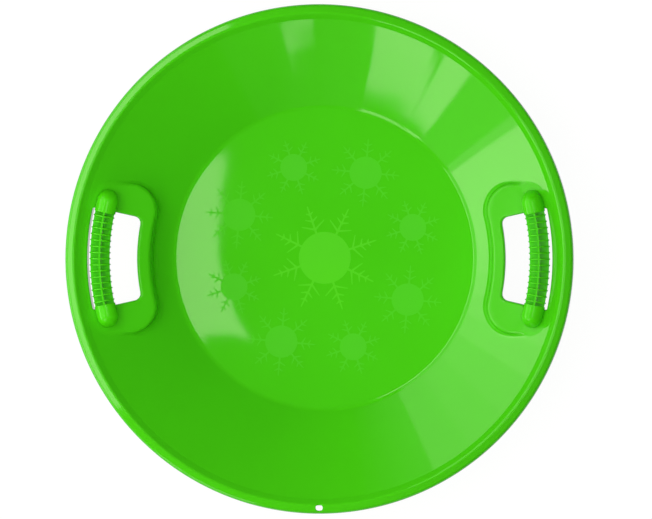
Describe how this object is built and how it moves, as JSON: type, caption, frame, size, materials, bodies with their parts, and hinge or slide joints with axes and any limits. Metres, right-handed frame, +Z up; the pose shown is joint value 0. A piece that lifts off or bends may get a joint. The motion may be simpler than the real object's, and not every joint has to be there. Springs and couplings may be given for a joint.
{
  "type": "snow saucer sled",
  "caption": "Round plastic snow saucer: a shallow dish with a rolled rim, raised pods with hand holes and finned grip bars at both sides, and a tow hole in the rim.",
  "frame": {"origin": "centre of the flat underside that the saucer lies on, on the dish's axis", "axes": "+Z up along the dish's axis, out of the bowl; the hand grips are at -X and +X; the tow hole is at -Y"},
  "size_m": [0.6, 0.6, 0.09],
  "materials": {
    "dish_green": "gloss",
    "grip_green": "gloss"
  },
  "bodies": {
    "root": {"dish_shell": "dish_green", "left_grip": "grip_green", "right_grip": "grip_green"}
  },
  "joints": []
}
